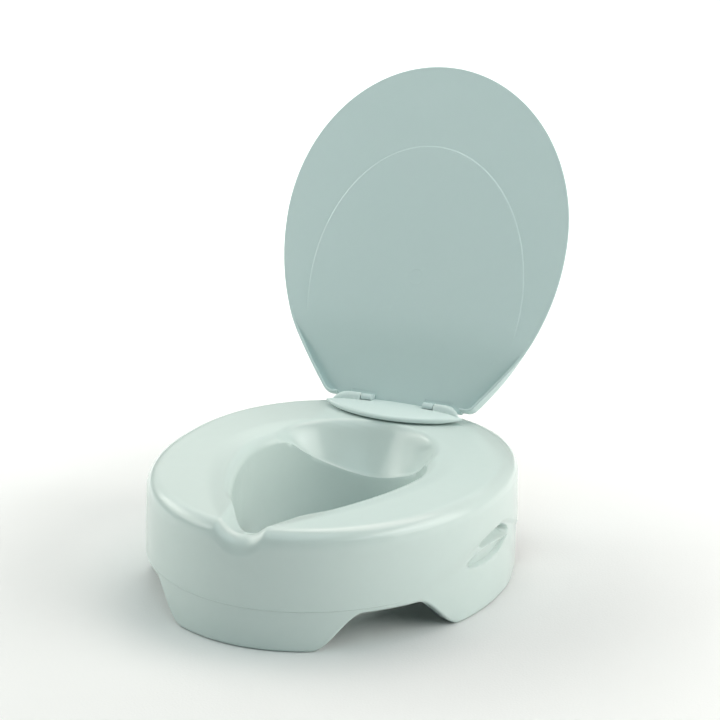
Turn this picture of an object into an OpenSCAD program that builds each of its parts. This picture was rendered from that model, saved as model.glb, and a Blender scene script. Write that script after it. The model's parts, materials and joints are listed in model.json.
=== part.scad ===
// Raised toilet seat with a hinged lid, standing on a floor with the lid open.
// All lengths are in millimetres. +X is the user's left-to-right direction, -Y is the front,
// +Z is up. The origin lies on the floor, under the middle of the part's outer box.

/* [Seat body] */
// Width of the body at its widest point
seat_w = 380; // [360:2:400]
// Distance from the widest point to the front of the body
front_len = 230; // [226:2:240]
// Distance from the widest point to the rear of the body
rear_len = 211; // [204:1:218]
// Height of the seating face above the floor
seat_h = 126; // [120:1:132]
// How far the seat raises the user above the rim of the toilet bowl
raise_h = 98; // [90:1:104]
// Height of the mould's parting line at the front
parting_z = 44; // [40:1:48]
// Thickness of the blow-moulded skin
skin_t = 3.2; // [2.4:0.2:3.6]
// Radius of the outer edge of the seating face
edge_r = 16; // [12:1:18]

/* [Opening] */
// Half width of the throat, the vertical inner wall
throat_w = 97; // [92:1:102]
// Distance from the widest point to the front of the throat
throat_front = 172; // [166:1:176]
// Distance from the widest point to the rear of the throat
throat_rear = 100; // [96:1:104]
// Depth of the hygiene notch at the front lip
notch_d = 10.5; // [8:0.5:13]
// Half width of the hygiene notch at the front lip
notch_w = 25; // [22:1:30]
// Depth of the rear scoop's paraboloid below the seating face
scoop_d = 88; // [70:2:96]

/* [Skirt] */
// Height of the wall's lower edge between the lobes
scallop_z = 38; // [34:1:40]
// Thickness of the hollow lobes that hang outside the bowl
lobe_t = 17; // [15:0.5:19]
// Depth of the finger recess in each side wall
recess_d = 6; // [3:0.5:7]
// Length of the finger recess
recess_l = 108; // [90:2:116]
// Height of the finger recess
recess_h = 29; // [24:1:31]

/* [Lid] */
// Width of the lid
lid_w = 340; // [330:2:344]
// Length of the lid from its hinge edge to its front
lid_l = 385; // [376:1:388]
// Thickness of the lid's panel
lid_t = 3.2; // [2.8:0.2:3.4]
// How far the lid's hinge edge is raised above the plane of its rim
lid_rise = 10.5; // [9.5:0.5:11.5]
// Angle from the closed level to the fully open lid
open_angle = 110.4; // [104:0.2:114]

/* [Hinge] */
// Distance from the widest point back to the hinge axis
hinge_y = 174; // [172:0.5:176]
// Height of the hinge axis above the seating face
hinge_z = 11.5; // [11.2:0.1:12]
// Radius of the hinge pins
pin_r = 2.2; // [1.8:0.1:2.4]
// Radial clearance between each pin and its lug in the lid
pin_gap = 0.08; // [0.02:0.01:0.1]
// Length of the hinge bracket from tip to tip
bracket_l = 166; // [156:2:172]
// Depth of the hinge bracket from front to rear
bracket_d = 60; // [56:1:62]

/* [Hidden] */
$fn = 48;

// Colours
body_colour = [0.86, 0.90, 0.88];
lid_colour = [0.72, 0.79, 0.78];
bracket_colour = [0.84, 0.89, 0.88];
pin_colour = [0.80, 0.84, 0.83];
pad_colour = [0.25, 0.27, 0.28];
steel_colour = [0.70, 0.71, 0.72];

// Body: outline exponents, heights and rounding
front_power = 1.97;         // 2 would be an ellipse
rear_power = 2.3;
throat_front_power = 1.6;
throat_rear_power = 2.2;
throat_ease = 9;
mouth_front = throat_front + 27.5;     // the throat's upper edge, where the front wall leans forward
mouth_front_power = 1.38;
mouth_ease = 3.5;
land_z = seat_h - raise_h;  // underside that rests on the bowl
lip_z = 10;                 // lower lip of the throat, inside the bowl
throat_t = 14;              // thickness of the hollow throat wall
throat_draft = 3;           // how much narrower the throat is at its lip
top_draft = 2;              // inset of the wall from the parting line up to the top
lower_slope = 0.01;         // inset per millimetre below the parting line
foot_r = 4;                 // rounding of the lobes' outer lower edge
dish_d = 3;                 // fall of the seating face towards the opening
dish_w = 34;                // width of that fall
angle_steps = 96;
rest_gap = 0.4;             // gap left between the closed lid and the seating face

// Lobes, as angles round the body from its front: flat to the first, scalloped from the second
front_lobe = [19, 33];
side_lobe_front = [49.5, 67];
side_lobe_rear = [118, 134];

// Side panel: its soft upper edge rises from the parting line and falls again behind
panel_rise = [43, 78];
panel_fall = [92, 130];
panel_h = 40;
panel_inset = 2.2;
recess_y = -13;
recess_z = 66;

// Scoop: a paraboloid over an ellipse in plan
scoop_y = 50;
scoop_rx = 92;
scoop_ry = 82;

// Screws that hold the bracket from below, at the foot of a well moulded into the body
screw_x = 36;
screw_y = 168;
screw_r = 2.2;
well_r = 9;
well_wall = 3.2;
well_top = seat_h - 8;
plug_r = 4;
plug_y = 160;

// Plane of the closed lid's rim above the hinge axis, and the lid's hinge edge behind the axis
rim_level = -2.8;
lid_back = 3.5;

// Bracket
bracket_y = 163;
bracket_gap = 2.5;          // shadow gap under the overhanging lens
bracket_t = 7.4;            // thickness of the lens at its middle
crown_r = 130;              // crown of the lens from front to rear
long_crown_r = 1000;        // and from tip to tip
pin_z = seat_h + hinge_z;
ear_in = 44.5;
ear_out = 60;
ear_r = 4.2;
ear_back = 3.4;             // half depth of the block under each ear
slot_clear = 0.7;           // room beside the lid's lugs, which turn in slots in the bracket
pin_head_t = 1.5;
stop_gap = 0.2;             // gap between the bracket's rear face and the open lid's hinge edge

// Lid, drawn closed and level with the hinge axis at its origin
lid_wide_u = 198;           // distance from the hinge edge to the lid's widest point
lid_taper_u = 282.5;
lid_taper_power = 2.11;
lid_rim_t = 2.6;
lid_corner_r = 10;
lug_in = 31;
lug_out = 43.5;
lug_half = 3.4;
hinge_wall_in = 77;         // the rim is open along the hinge edge between these distances
rise_u = 75;                // where the panel starts to rise from the rim's plane
rise_power = 2.2;
panel_step = 0.8;           // raised egg-shaped panel on the underside
panel_rx = 128.5;
panel_ru = 166;
panel_u = 128;
// Tilt below level at which the front of the rim comes down on the seating face
close_tilt = asin((hinge_z + rim_level - panel_step - rest_gap) / (lid_l - lid_back));

// The lid's front tip when open sets the rear of the outer box
lid_tip_y = hinge_y - (lid_l - lid_back) * cos(open_angle) + (rim_level + lid_t) * sin(open_angle);
y_shift = (front_len - lid_tip_y) / 2;

// Rear face of the bracket, just short of the hinge edge of the open lid, which stops against it
bracket_rear = hinge_y - lid_back * -cos(open_angle) + (rim_level + lid_rise) * sin(open_angle) - stop_gap;
function clamp01(t) = max(0, min(1, t));
function smooth(t) = let (c = clamp01(t)) c * c * (3 - 2 * c);
function soft_min(a, b, k) = let (h = clamp01(0.5 + (b - a) / (2 * k))) b * (1 - h) + a * h - k * h * (1 - h);

// Radius of a rounded outline at an angle; the front and rear halves have their own length and power
function polar(a, half_w, front, rear, front_n, rear_n) =
    let (len = sin(a) < 0 ? front : rear, n = sin(a) < 0 ? front_n : rear_n)
    pow(pow(abs(cos(a)) / half_w, n) + pow(abs(sin(a)) / len, n), -1 / n);
function body_r(a) = polar(a, seat_w / 2, front_len, rear_len, front_power, rear_power);
function throat_raw(a) = polar(a, throat_w, throat_front, throat_rear, throat_front_power, throat_rear_power);
// The throat's outline, eased over a few degrees so that its front end is round
function throat_r(a) = (throat_raw(a - throat_ease) + 2 * throat_raw(a) + throat_raw(a + throat_ease)) / 4;
function mouth_raw(a) = polar(a, throat_w, mouth_front, throat_rear, mouth_front_power, throat_rear_power);
// The throat's upper edge, which lies in front of the foot of the front wall
function mouth_r(a) = (mouth_raw(a - mouth_ease) + 2 * mouth_raw(a) + mouth_raw(a + mouth_ease)) / 4;

// Angle from the front of the body, 0 to 180, the same on both sides
function from_front(a) = acos(-sin(a));
function ramp(b, span) = smooth((b - span[0]) / (span[1] - span[0]));
function bottom_z(b) = scallop_z * (ramp(b, front_lobe) - ramp(b, side_lobe_front) + ramp(b, side_lobe_rear));

// Upper edge of the side panel, which is the parting line elsewhere
function panel_z(b) =
    parting_z + panel_h * (1 - pow(1 - clamp01((b - panel_rise[0]) / (panel_rise[1] - panel_rise[0])), 1.35))
    * (1 - ramp(b, panel_fall));
function wall_inset(b, z) =
    let (line = panel_z(b), share = smooth((b - 45) / 30) * (1 - smooth((b - 112) / 20)))
    z > line ? top_draft * (z - parting_z) / (seat_h - parting_z)
    : lower_slope * (line - z) + panel_inset * share * smooth((line - z) / 4);
function recess(y, z, grow = 0) =
    let (e = 1 - pow((y - recess_y) / (recess_l / 2 + 2 * grow), 2) - pow((z - recess_z) / (recess_h / 2 + grow), 2))
    recess_d * smooth(2 * e);
function wall_r(a, z, grow = 0) =
    let (r = body_r(a), b = from_front(a)) r - wall_inset(b, z) - recess(r * sin(a), z, grow);

// Height of the upper surface: seating face, rear scoop and front notch
function scoop_z(x, y) = seat_h - scoop_d * (1 - pow(x / scoop_rx, 2) - pow((y - scoop_y) / scoop_ry, 2));
function notch_half(y) = notch_w + 22 * clamp01((y + front_len - 15) / 70);
function notch_z(x, y) =
    let (floor_z = seat_h - notch_d - 11 * clamp01((y + front_len - 10) / 50))
    floor_z + (seat_h - floor_z + 3) * pow(abs(x) / notch_half(y), 2.3);
function top_z(x, y, a) =
    let (in_gap = norm([x, y]) - mouth_r(a), face = seat_h - dish_d * (1 - smooth(in_gap / dish_w)),
        rear = y > scoop_y ? scoop_z(x, y) : seat_h + 99, front = y < -100 ? notch_z(x, y) : seat_h + 99)
    soft_min(soft_min(face, rear, 5), front, 4);
function inner_roll(b) = 12 - 6 * smooth((25 - b) / 12) - 8 * smooth((b - 115) / 35);

// One closed section of the body at an angle, as [radius, height] points from the throat's lip
// up the throat, over the seating face, down the wall and back along the underside.
// "in" is the inset from the outer surface: 0 for the outside, skin_t for the cavity.
function section(a, in, rolls, tops, walls) =
    let (b = from_front(a), rt = throat_r(a) + in, rm = mouth_r(a) + in, ri = inner_roll(b), ro = body_r(a),
        zb = bottom_z(b) + in, outer = wall_r(a, seat_h) - in, er = edge_r - in, first_top = rm + ri, last_top = outer - er,
        upper = function(r) top_z((r - in) * cos(a), (r - in) * sin(a), a) - in,
        inner_edge = upper(first_top) - ri, wall_top = upper(last_top) - er, foot = foot_r - in / 2,
        low = wall_r(a, zb + foot, in) - in, face_in = ro - lobe_t + in - 2,
        under_in = face_in - 2 - 10 * bottom_z(b) / scallop_z, leg = throat_r(a) + throat_t - in)
    concat(
        [[rt - throat_draft + 2, lip_z + in + 3], [(rt + rm - throat_draft) / 2, (lip_z + inner_edge) / 2]],
        [for (i = [0 : rolls]) let (t = 90 * i / rolls) [rm + ri * (1 - cos(t)), inner_edge + ri * sin(t)
            + (upper(rm + ri * (1 - cos(t))) - upper(first_top)) * i / rolls]],
        [for (i = [1 : tops - 1]) let (r = first_top + (last_top - first_top) * i / tops) [r, upper(r)]],
        [for (i = [0 : rolls]) let (t = 90 * i / rolls) [last_top + er * sin(t), wall_top + er * cos(t)]],
        [for (i = [1 : walls]) let (z = wall_top - (wall_top - zb - foot) * i / (walls + 1)) [wall_r(a, z, 3 * in) - in, z]],
        [for (i = [0 : 2]) let (t = 45 * i) [low - foot * (1 - cos(t)), zb + foot * (1 - sin(t))]],
        [[face_in + 3, zb], [face_in, zb + 3 - 6 * bottom_z(b) / scallop_z], [under_in, land_z + in], [leg + 2, land_z + in],
            [leg, land_z - 2 + in], [leg - 1, lip_z + in + 3], [(leg + rt) / 2, lip_z + in]]);

// A solid swept round the body from its sections
module ring(in, rolls, tops, walls) {
    rows = [for (i = [0 : angle_steps - 1]) section(360 * i / angle_steps, in, rolls, tops, walls)];
    n = len(rows[0]);
    points = [for (i = [0 : angle_steps - 1]) let (a = 360 * i / angle_steps)
        for (p = rows[i]) [p[0] * cos(a), p[0] * sin(a), p[1]]];
    faces = [for (i = [0 : angle_steps - 1], j = [0 : n - 1])
        let (i2 = (i + 1) % angle_steps, j2 = (j + 1) % n)
        each [[i * n + j, i2 * n + j2, i * n + j2], [i * n + j, i2 * n + j, i2 * n + j2]]];
    polyhedron(points, faces, convexity = 8);
}

module placed() { translate([0, y_shift, 0]) children(); }
module both_sides() { for (side = [-1, 1]) translate([side * screw_x, screw_y, 0]) children(); }

module seat_body() {
    color(body_colour) placed() difference() {
        union() {
            difference() {
                ring(0, 3, 8, 7);
                ring(skin_t, 1, 7, 3);
            }
            both_sides() translate([0, 0, land_z + 1]) cylinder(r = well_r + well_wall, h = seat_h - land_z - 2);
        }
        both_sides() {
            translate([0, 0, land_z - 1]) cylinder(r = well_r, h = well_top - land_z + 1);
            translate([0, 0, well_top - 1]) cylinder(r = screw_r + 0.3, h = 12);
        }
        translate([0, plug_y, land_z - 1]) cylinder(r = plug_r, h = skin_t + 2);
    }
}

// Plug that closes the hole left by the blow pin
module blow_hole_plug() {
    color(body_colour) placed() translate([0, plug_y, land_z]) {
        translate([0, 0, -1.5]) cylinder(r = plug_r + 2.5, h = 1.5);
        cylinder(r = plug_r, h = skin_t + 1);
    }
}

// Foam rubber pad glued to the face that rests on the bowl
pad_l = 46;
pad_w = 18;
pad_t = 3;
pad_r = 148;
pad_front_angle = 48;
pad_rear_angle = 142;
module pad(from_front_angle, side) {
    a = -90 + side * from_front_angle;
    color(pad_colour) placed() rotate([0, 0, a]) translate([pad_r, 0, land_z - pad_t]) linear_extrude(pad_t)
        union() {
            square([pad_w, pad_l - pad_w], center = true);
            for (end = [-1, 1]) translate([0, end * (pad_l - pad_w) / 2]) circle(d = pad_w);
        }
}
module pad_front_left() { pad(pad_front_angle, -1); }
module pad_front_right() { pad(pad_front_angle, 1); }
module pad_rear_left() { pad(pad_rear_angle, -1); }
module pad_rear_right() { pad(pad_rear_angle, 1); }

// Lens-shaped plan of the bracket, between two equal arcs
lens_r = (pow(bracket_l / 2, 2) + pow(bracket_d / 2, 2)) / bracket_d;
module lens_plan(shrink = 0) {
    intersection_for (side = [-1, 1])
        translate([0, side * (lens_r - bracket_d / 2)]) circle(r = lens_r - shrink, $fn = 180);
}

module hinge_bracket() {
    base_z = seat_h + bracket_gap;
    color(bracket_colour) placed() difference() {
        union() {
            translate([0, bracket_y, 0]) intersection() {
                translate([0, 0, base_z]) linear_extrude(bracket_t) lens_plan();
                translate([0, 0, base_z + bracket_t - crown_r]) rotate([0, 90, 0])
                    cylinder(r = crown_r, h = 2 * bracket_l, center = true, $fn = 400);
                translate([0, 0, base_z + bracket_t - long_crown_r]) rotate([90, 0, 0])
                    cylinder(r = long_crown_r, h = 2 * bracket_d, center = true, $fn = 2000);
            }
            // Foot that stands on the seating face
            translate([0, bracket_y + 2, seat_h]) linear_extrude(bracket_gap + 1) lens_plan(16);
            // Ears that carry the hinge pins
            for (side = [-1, 1]) translate([side * (ear_in + ear_out) / 2, hinge_y, pin_z]) {
                rotate([0, 90, 0]) cylinder(r = ear_r, h = ear_out - ear_in, center = true);
                translate([0, ear_back - ear_r, (1 - pin_z + base_z) / 2])
                    cube([ear_out - ear_in, 2 * ear_back, pin_z - base_z + 1], center = true);
            }
        }
        // Rear face, which stops the open lid
        translate([-bracket_l / 2, bracket_rear, seat_h - 1]) cube([bracket_l, bracket_d, 2 * hinge_z]);
        for (side = [-1, 1]) translate([side * (ear_in - 1), hinge_y, pin_z]) rotate([0, side * 90, 0])
            cylinder(r = pin_r, h = ear_out - ear_in + 2);
        // Slots that the lid's lugs turn in
        for (side = [-1, 1]) translate([side * (lug_in + lug_out) / 2, hinge_y + bracket_d / 2 - ear_r - slot_clear, pin_z])
            cube([lug_out - lug_in + 2 * slot_clear, bracket_d, 2 * hinge_z + 2], center = true);
        both_sides() translate([0, 0, seat_h - 1]) cylinder(r = screw_r, h = bracket_gap + 4);
    }
}

module bracket_screws() {
    color(steel_colour) placed() both_sides() {
        translate([0, 0, well_top - 1.2 - 3]) cylinder(r = 4.2, h = 3);
        translate([0, 0, well_top - 1.3]) cylinder(r = screw_r, h = seat_h - well_top + 1.3 + bracket_gap + 2.5);
    }
}

module bracket_washers() {
    color(steel_colour) placed() both_sides() translate([0, 0, well_top - 1.2]) difference() {
        cylinder(r = 6, h = 1.2);
        translate([0, 0, -1]) cylinder(r = screw_r + 0.2, h = 4);
    }
}

module hinge_pin(side) {
    color(pin_colour) placed() translate([side * (lug_in + 1.5), hinge_y, pin_z]) rotate([0, side * 90, 0]) {
        cylinder(r = pin_r, h = ear_out - lug_in - 1.5);
        translate([0, 0, ear_out - lug_in - 1.5]) cylinder(r = pin_r + 1, h = pin_head_t);
    }
}
module hinge_pin_left() { hinge_pin(-1); }
module hinge_pin_right() { hinge_pin(1); }

// Half width of the lid at a distance from its hinge edge
function lid_half(u, in) =
    let (w = lid_w / 2 - in)
    u > lid_wide_u ? w * sqrt(max(0, 1 - pow((u - lid_wide_u) / (lid_l - in - lid_wide_u), 2)))
    : lid_w / 2 * (1 - pow((lid_wide_u - u) / lid_taper_u, lid_taper_power)) - in;
// Points of the lid's outline on one side, evenly turned round its front, down to the hinge edge
function lid_side(in) = concat(
    [for (t = [0 : 4.5 : 90]) [(lid_w / 2 - in) * sin(t), lid_wide_u + (lid_l - in - lid_wide_u) * cos(t)]],
    [for (u = [lid_wide_u - 20 : -22 : lid_corner_r + 10]) [lid_half(u, in), u]],
    [for (t = [0 : 22.5 : 90]) [lid_half(lid_corner_r, in) - (lid_corner_r - in) * (1 - cos(t)),
        lid_corner_r - (lid_corner_r - in) * sin(t)]]);
module lid_plan(in = 0) {
    side = lid_side(in);
    translate([0, lid_back]) mirror([0, 1]) polygon(concat(side, [for (i = [len(side) - 1 : -1 : 1]) [-side[i][0], side[i][1]]]));
}

// Height of the panel's underside above the plane of the rim, at a distance from the hinge edge
function panel_lift(u) = lid_rise * (1 - pow(clamp01(u / rise_u), rise_power));
// The closed lid seen from its side, from below the rim to the panel's underside or, with lid_t added, to its top
module below_panel(up) {
    rotate([90, 0, 90]) linear_extrude(lid_w + 2, center = true) polygon(concat(
        [[lid_back - lid_l - 1, rim_level], [lid_back - lid_l - 1, rim_level + up]],
        [for (u = [rise_u : -7.5 : 0]) [lid_back - u, rim_level + panel_lift(u) + up]],
        [[lid_back + 1, rim_level + lid_rise + up], [lid_back + 1, rim_level]]));
}

module lid() {
    color(lid_colour) placed() translate([0, hinge_y, pin_z]) rotate([-open_angle, 0, 0]) difference() {
        union() {
            // Panel, and the rim that stands below it where it rises towards the hinge
            intersection() {
                translate([0, 0, rim_level - 1]) linear_extrude(lid_rise + lid_t + 2) lid_plan();
                difference() {
                    below_panel(lid_t);
                    intersection() {
                        below_panel(0);
                        translate([0, 0, rim_level - 2]) linear_extrude(lid_rise + 4) union() {
                            lid_plan(lid_rim_t);
                            translate([-hinge_wall_in, lid_back - lid_rim_t - 1]) square([2 * hinge_wall_in, lid_rim_t + 3]);
                        }
                    }
                }
            }
            // Raised egg-shaped panel
            translate([0, lid_back - panel_u, rim_level - panel_step]) intersection() {
                scale([1, panel_ru / panel_rx, 1]) cylinder(r = panel_rx, h = panel_step + 1, $fn = 160);
                translate([-200, -200, -1]) cube([400, 200 + panel_u - rise_u - 6, 5]);
            }
            // Lugs that turn on the hinge pins
            for (side = [-1, 1]) translate([side * (lug_in + lug_out) / 2, 0, 0]) {
                rotate([0, 90, 0]) cylinder(r = ear_r, h = lug_out - lug_in, center = true);
                translate([0, 0, (rim_level + lid_rise) / 2 - 0.5])
                    cube([lug_out - lug_in, 2 * lug_half, rim_level + lid_rise + 1], center = true);
            }
        }
        for (side = [-1, 1]) translate([side * (lug_in + 1), 0, 0]) rotate([0, side * 90, 0])
            cylinder(r = pin_r + pin_gap, h = lug_out - lug_in);
    }
}

seat_body();
blow_hole_plug();
pad_front_left();
pad_front_right();
pad_rear_left();
pad_rear_right();
hinge_bracket();
bracket_screws();
bracket_washers();
hinge_pin_left();
hinge_pin_right();
lid();
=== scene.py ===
"""Looks of the raised toilet seat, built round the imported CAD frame.

Shapes and the camera are worked out in millimetres, in the seat's own frame: x to the right, y back
from the seat's widest point, z up from the floor. seat_to_row() carries them to the row frame of the
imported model, and MM turns them into Blender's metres. The lamps are placed in metres.
"""
import json
import math

import bpy
import numpy as np
from mathutils import Matrix, Vector


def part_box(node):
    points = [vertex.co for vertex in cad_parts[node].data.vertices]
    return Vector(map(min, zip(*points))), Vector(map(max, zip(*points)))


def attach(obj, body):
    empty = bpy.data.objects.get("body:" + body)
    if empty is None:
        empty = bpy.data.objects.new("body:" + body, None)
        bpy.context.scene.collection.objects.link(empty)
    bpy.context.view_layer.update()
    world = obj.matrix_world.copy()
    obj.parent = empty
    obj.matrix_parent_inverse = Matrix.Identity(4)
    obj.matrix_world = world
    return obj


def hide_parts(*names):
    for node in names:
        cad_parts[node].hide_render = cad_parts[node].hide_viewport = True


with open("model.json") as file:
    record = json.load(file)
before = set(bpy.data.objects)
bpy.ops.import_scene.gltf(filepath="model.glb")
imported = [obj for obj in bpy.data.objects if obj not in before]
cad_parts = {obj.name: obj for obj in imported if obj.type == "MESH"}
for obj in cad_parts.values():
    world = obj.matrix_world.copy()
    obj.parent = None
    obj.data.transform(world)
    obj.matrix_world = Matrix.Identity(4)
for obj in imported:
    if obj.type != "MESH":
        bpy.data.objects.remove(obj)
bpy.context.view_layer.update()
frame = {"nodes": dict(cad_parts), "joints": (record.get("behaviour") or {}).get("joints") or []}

MM = 0.001


def box_mm(node):
    """Lowest and highest corner of a CAD node, in millimetres."""
    low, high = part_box(node)
    return np.array(low) / MM, np.array(high) / MM


# --- Sizes, from the frame where it has them ---------------------------------------------------
BODY_LOW, BODY_HIGH = box_mm("seat_body")
SEAT_W = BODY_HIGH[0] - BODY_LOW[0]
SEAT_H = 126.0
FRONT_LEN = 230.0
REAR_LEN = 211.0
WIDEST_Y = BODY_LOW[1] + FRONT_LEN            # row y of the seat's widest point

HINGE = next(j for j in frame["joints"] if j["name"] == "lid_hinge")
HINGE_Y = HINGE["pos_m"][1] / MM - WIDEST_Y
HINGE_Z = HINGE["pos_m"][2] / MM
OPEN_ANGLE = math.radians(110.4)
PIN_R = 2.2

# Seat body, with the CAD source's sizes where it has them. A pair in degrees is the span of a soft
# change, counted from the front of the seat round to its rear.
FRONT_POWER, REAR_POWER = 1.97, 2.3
THROAT_W, THROAT_FRONT, THROAT_REAR = 97.0, 172.0, 100.0
THROAT_FRONT_POWER, THROAT_REAR_POWER = 1.6, 2.2
THROAT_EASE = math.radians(9)
MOUTH_FRONT, MOUTH_POWER = 199.5, 1.38        # the throat's upper edge at the front
MOUTH_EASE = math.radians(3.5)
EDGE_R = 16.0
ROLL_R, ROLL_LESS_FRONT, ROLL_LESS_REAR = 12, 6, 8    # inner edge, and how much tighter at the ends
LAND_Z, LIP_Z, LOBE_T, THROAT_T = 28.0, 10.0, 17.0, 14.0
PARTING_Z, SCALLOP_Z, FOOT_R = 44.0, 38.0, 3.8
TOP_DRAFT, THROAT_DRAFT = 2.0, 3.0
DISH_D, DISH_W = 3.0, 34.0
FRONT_LOBE, SIDE_LOBE_FRONT, SIDE_LOBE_REAR = (19, 33), (49.5, 67), (118, 134)
PANEL_RISE, PANEL_FALL, PANEL_H, PANEL_POWER = (43, 78), (92, 130), 40.0, 1.35
PANEL_INSET, PANEL_STEP_IN, PANEL_STEP_OUT = 2.2, (45, 75), (112, 132)
STEP_SOFT, STEP_SHARP, STEP_SHARPENS = 20, 7, (82, 94)    # height over which the panel steps in
LOBE_FLARE, FLARE_IN, FLARE_OUT, FLARE_Z = 2.5, (60, 70), (98, 114), 60   # the side lobes spread downwards
LEDGE, LEDGE_SOFT = 0.6, 0.7                  # step under the parting line
FLASH_H, FLASH_W = 0.35, 0.8                  # the mould's fine raised line
FLASH_FADE = (36, 48)
BAND = 1.2                                    # finely divided strip on each side of the parting line

# Finger recess, as (y, z) points: upper edge, ridge across the middle, lower edge of the leaf
RECESS_ARCH = [(-70, 66), (-56, 71), (-40, 76), (-28, 79), (-17, 81),
               (-1, 81.5), (12, 79.5), (24, 75.5), (34, 70), (40, 62)]
RECESS_RIDGE = [(-67, 60), (-56, 64), (-43, 67), (-30, 67.8), (-17, 67.3),
                (0, 65), (17.5, 62), (30, 60), (40, 59)]
RECESS_LEAF = [(-67, 58.5), (-57, 54.4), (-48, 52.6), (-38, 52), (-17, 51.6),
               (0, 52), (14, 54), (26, 57.5), (40, 58.8)]
RECESS_D, RECESS_IN, RECESS_OUT = 11.5, (-50, -22), (31, 39)      # the ends are spans of y
RECESS_FLOOR, RECESS_ROOF = 0.74, (0.78, 1.02)    # shares of the height from the ridge to the arch
LEAF_D, LEAF_IN, LEAF_OUT, LEAF_EDGE = 5.4, (-68, -52), (26, 38), 2.0
SHOULDER_H, SHOULDER_IN, SHOULDER_OUT = 1.1, (-72, -58), (-44, -22)

SCOOP_D, SCOOP_Y, SCOOP_RX, SCOOP_RY, SCOOP_SOFT = 88.0, 50.0, 92.0, 82.0, 8
NOTCH_W, NOTCH_SPREAD, NOTCH_SPREAD_FROM, NOTCH_SPREAD_L = 25.0, 22, 15, 70
NOTCH_D, NOTCH_FALL, NOTCH_FALL_FROM, NOTCH_FALL_L = 10.5, 11, 10, 50
NOTCH_POWER, NOTCH_SOFT, NOTCH_END = 2.3, 4, -100
FAR_UP = 99                                   # lifts a surface out of reach where it has no part
WELL_X, WELL_Y, WELL_R, WELL_TOP = 36.0, 168.0, 9.0, SEAT_H - 8
PLUG_Y, PLUG_R = 160.0, 4.0

# Bracket, a little thicker in the middle than in the CAD source
BRACKET_Y, BRACKET_L, BRACKET_D = 163.0, 166.0, 60.0
BRACKET_GAP, BRACKET_T = 2.5, 8.0
CROWN_R, LONG_CROWN_R = 130.0, 1000.0
LENS_FRONT_R, LENS_REAR_R = 3.4, 1.6          # roundings of the lens's upper edge
TIP_LIFT, TIP_LIFT_SPAN = 2.2, (60, 82)       # the lens's underside rises towards its tips
EAR_IN, EAR_OUT, EAR_END, EAR_R = 44.5, 55.0, 76.0, 4.2
EAR_HALF, EAR_SPREAD, EAR_SHIFT = 5.0, 1.5, 2.5       # half width, and how it changes outwards
EAR_POWER, EAR_ROUND = 2.5, 0.7
LUG_IN, LUG_OUT, LUG_HALF, SLOT_CLEAR = 31.0, 43.5, 3.4, 0.7
STOP_GAP = 0.2                                # between the open lid and the bracket's rear face

# Lid, with rounder corners at the hinge than in the CAD source
LID_W, LID_L, LID_T = 340.0, 385.0, 3.2
LID_WIDE_U, LID_TAPER_U, LID_TAPER_POWER = 198.0, 282.5, 2.11
LID_RIM_T, LID_CORNER_R, LID_BACK, RIM_LEVEL = 2.6, 16.0, 3.5, -2.8
LID_RISE, RISE_U, RISE_POWER, RISE_EASE = 10.5, 75.0, 2.2, 15.0
EGG_RX, EGG_RU, EGG_U, EGG_STEP = 128.5, 166.0, 128.0, 0.8
HINGE_WALL_IN = 77.0
POCKET_IN, POCKET_OUT, POCKET_U, POCKET_LINE = 29.0, 61.0, 12.5, 0.8
EGG_FADE = (78, 104)                          # the egg-shaped step fades out towards the hinge
GATE_U, GATE_R = 146.0, 7.0
SIDE_FLARE = 0.42                             # near the hinge the side walls spread towards the back
BACK_EDGE, LID_CROWN = 5.2, 0.9               # rounding of the outer face's edge, and its crown

# Camera, fitted to the object's outline: degrees, millimetres, and the lens for a 36 mm sensor
CAMERA_AZIMUTH, CAMERA_PITCH, CAMERA_ROLL = 23.64, 17.18, 0.95
CAMERA_DISTANCE, CAMERA_LENS, SENSOR_W = 2600.0, 120.75, 36.0
CAMERA_AIM, CAMERA_NUDGE = (-2.8, 70.6, 213.9), 1.08


# --- Helpers -----------------------------------------------------------------------------------
def smooth(t):
    t = np.clip(t, 0.0, 1.0)
    return t * t * (3 - 2 * t)


def soft_min(a, b, k):
    h = np.clip(0.5 + (b - a) / (2 * k), 0.0, 1.0)
    return b * (1 - h) + a * h - k * h * (1 - h)


def hump(t, width):
    """A smooth bump, 1 at t = 0 and 0 beyond the width on each side."""
    return smooth(1 - np.abs(t) / width)


def seat_to_row(points):
    return np.asarray(points, float) + np.array([0.0, WIDEST_Y, 0.0])


def grid_faces(rows, cols, wrap_rows=False, wrap_cols=False, flip=False):
    """Quads between the points of a grid that is stored row by row."""
    i = np.arange(rows if wrap_rows else rows - 1)
    j = np.arange(cols if wrap_cols else cols - 1)
    i, j = np.meshgrid(i, j, indexing="ij")
    i2, j2 = (i + 1) % rows, (j + 1) % cols
    quads = np.stack([i * cols + j, i2 * cols + j, i2 * cols + j2, i * cols + j2], -1).reshape(-1, 4)
    return (quads[:, ::-1] if flip else quads).tolist()


def mesh_piece(name, points_mm, faces, smooth_shade=True):
    """A mesh object from points in the seat's frame. Its place is in its mesh, as a CAD node's is."""
    mesh = bpy.data.meshes.new(name)
    mesh.from_pydata((seat_to_row(points_mm) * MM).tolist(), [], faces)
    mesh.validate()
    mesh.polygons.foreach_set("use_smooth", [smooth_shade] * len(mesh.polygons))
    obj = bpy.data.objects.new(name, mesh)
    bpy.context.scene.collection.objects.link(obj)
    return obj


def apply_modifiers(obj):
    graph = bpy.context.evaluated_depsgraph_get()
    mesh = bpy.data.meshes.new_from_object(obj.evaluated_get(graph))
    obj.modifiers.clear()
    obj.data = mesh


def boolean(obj, tool, operation):
    mod = obj.modifiers.new(operation.lower(), "BOOLEAN")
    mod.operation = operation
    mod.solver = "EXACT"
    mod.object = tool
    apply_modifiers(obj)
    bpy.data.objects.remove(tool)


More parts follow.
